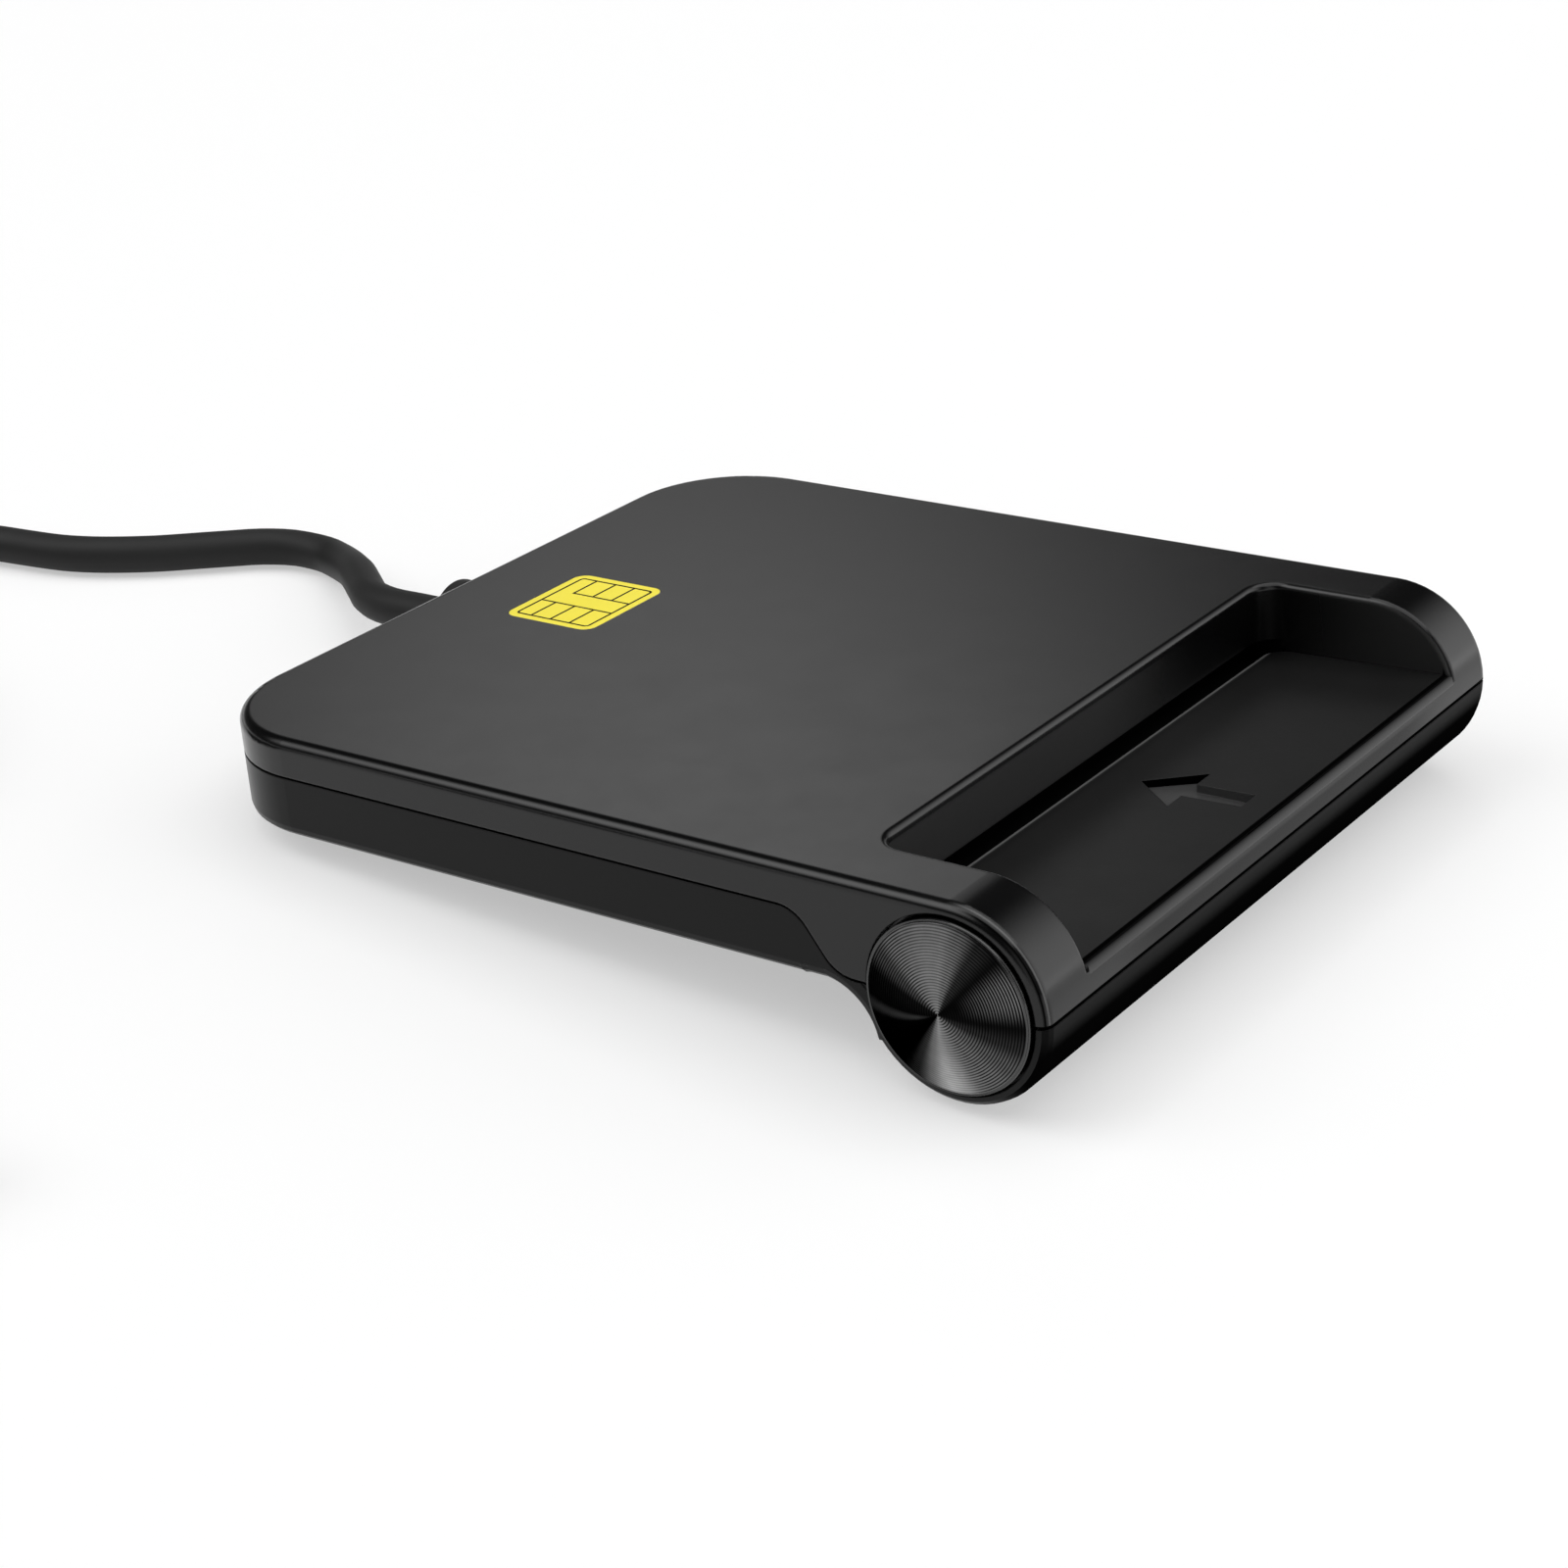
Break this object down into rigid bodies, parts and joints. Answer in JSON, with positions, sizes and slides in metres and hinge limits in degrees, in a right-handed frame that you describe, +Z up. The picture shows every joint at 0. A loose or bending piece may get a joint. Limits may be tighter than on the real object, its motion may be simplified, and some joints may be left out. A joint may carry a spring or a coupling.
{
  "type": "smart card reader",
  "caption": "Low desk-top reader for chip cards: flat two-tone shell on a round front with spun end discs, finger recess with card slot, and a thin cable.",
  "frame": {"origin": "on the surface it stands on, under the middle of the reader's outline without its cable", "axes": "+X to the right as seen from the front, +Y to the rear where the cable leaves, +Z up"},
  "size_m": [0.127, 0.1539, 0.0154],
  "materials": {
    "top_shell": "fine satin",
    "bottom_shell": "fine satin",
    "tray": "fine satin",
    "sign": "satin",
    "disc": "spun, anodised black",
    "screw": "plain",
    "foot": "matt",
    "board": "lacquered",
    "black_plastic": "matt",
    "white_plastic": "matt",
    "contact": "gold plated",
    "tin": "tinned",
    "ceramic": "satin",
    "wire_red": "satin",
    "wire_white": "satin",
    "wire_green": "satin",
    "wire_black": "satin",
    "cable": "satin",
    "plug_shell": "plated"
  },
  "bodies": {
    "reader": {"top_cover": "top_shell", "bottom_cover": "bottom_shell", "card_tray": "tray", "chip_sign": "sign", "end_disc_left": "disc", "end_disc_right": "disc", "cover_screws": "screw", "foot_front_left": "foot", "foot_front_right": "foot", "foot_rear_left": "foot", "foot_rear_right": "foot", "circuit_board": "board", "board_screws": "screw", "contact_block": "black_plastic", "card_switch": "white_plastic", "controller_chip": "black_plastic", "controller_legs": "tin", "clock_crystal": "tin", "regulator": "black_plastic", "regulator_legs": "tin", "board_passives": "ceramic", "wire_red": "wire_red", "wire_white": "wire_white", "wire_green": "wire_green", "wire_black": "wire_black", "cable_jacket_end": "cable", "cable_sleeve": "cable", "cable_free_stretch": "cable", "cable_coil": "cable", "cable_tie": "cable", "cable_tail": "cable", "usb_plug_grip": "cable", "usb_plug_shell": "plug_shell", "usb_plug_tongue": "white_plastic", "usb_plug_contacts": "contact"},
    "c1": {"contact_c1": "contact"},
    "c2": {"contact_c2": "contact"},
    "c3": {"contact_c3": "contact"},
    "c4": {"contact_c4": "contact"},
    "c5": {"contact_c5": "contact"},
    "c6": {"contact_c6": "contact"},
    "c7": {"contact_c7": "contact"},
    "c8": {"contact_c8": "contact"},
    "switch_lever": {"card_switch_lever": "white_plastic"}
  },
  "joints": [
    {"name": "c1_bend", "type": "hinge", "parent": "reader", "child": "c1", "pos_m": [0.00691, 0.01174, 0.00786], "axis": [1, 0, 0], "range_deg": [0, 6.5], "stiffness_Nm_per_rad": 0.02},
    {"name": "c2_bend", "type": "hinge", "parent": "reader", "child": "c2", "pos_m": [0.00437, 0.01174, 0.00786], "axis": [1, 0, 0], "range_deg": [0, 6.5], "stiffness_Nm_per_rad": 0.02},
    {"name": "c3_bend", "type": "hinge", "parent": "reader", "child": "c3", "pos_m": [0.00183, 0.01174, 0.00786], "axis": [1, 0, 0], "range_deg": [0, 6.5], "stiffness_Nm_per_rad": 0.02},
    {"name": "c4_bend", "type": "hinge", "parent": "reader", "child": "c4", "pos_m": [-0.00071, 0.01174, 0.00786], "axis": [1, 0, 0], "range_deg": [0, 6.5], "stiffness_Nm_per_rad": 0.02},
    {"name": "c5_bend", "type": "hinge", "parent": "reader", "child": "c5", "pos_m": [0.00691, 0.00415, 0.00854], "axis": [1, 0, 0], "range_deg": [0, 6.5], "stiffness_Nm_per_rad": 0.02},
    {"name": "c6_bend", "type": "hinge", "parent": "reader", "child": "c6", "pos_m": [0.00437, 0.00415, 0.00854], "axis": [1, 0, 0], "range_deg": [0, 6.5], "stiffness_Nm_per_rad": 0.02},
    {"name": "c7_bend", "type": "hinge", "parent": "reader", "child": "c7", "pos_m": [0.00183, 0.00415, 0.00854], "axis": [1, 0, 0], "range_deg": [0, 6.5], "stiffness_Nm_per_rad": 0.02},
    {"name": "c8_bend", "type": "hinge", "parent": "reader", "child": "c8", "pos_m": [-0.00071, 0.00415, 0.00854], "axis": [1, 0, 0], "range_deg": [0, 6.5], "stiffness_Nm_per_rad": 0.02},
    {"name": "switch_lever_swing", "type": "hinge", "parent": "reader", "child": "switch_lever", "pos_m": [0.0145, 0.02695, 0.00675], "axis": [1, 0, 0], "range_deg": [0, 50], "stiffness_Nm_per_rad": 0.001}
  ],
  "couplings": [
    {"joint": "c2_bend", "follows": "c1_bend", "ratio": 1},
    {"joint": "c3_bend", "follows": "c1_bend", "ratio": 1},
    {"joint": "c4_bend", "follows": "c1_bend", "ratio": 1},
    {"joint": "c6_bend", "follows": "c5_bend", "ratio": 1},
    {"joint": "c7_bend", "follows": "c5_bend", "ratio": 1},
    {"joint": "c8_bend", "follows": "c5_bend", "ratio": 1}
  ]
}
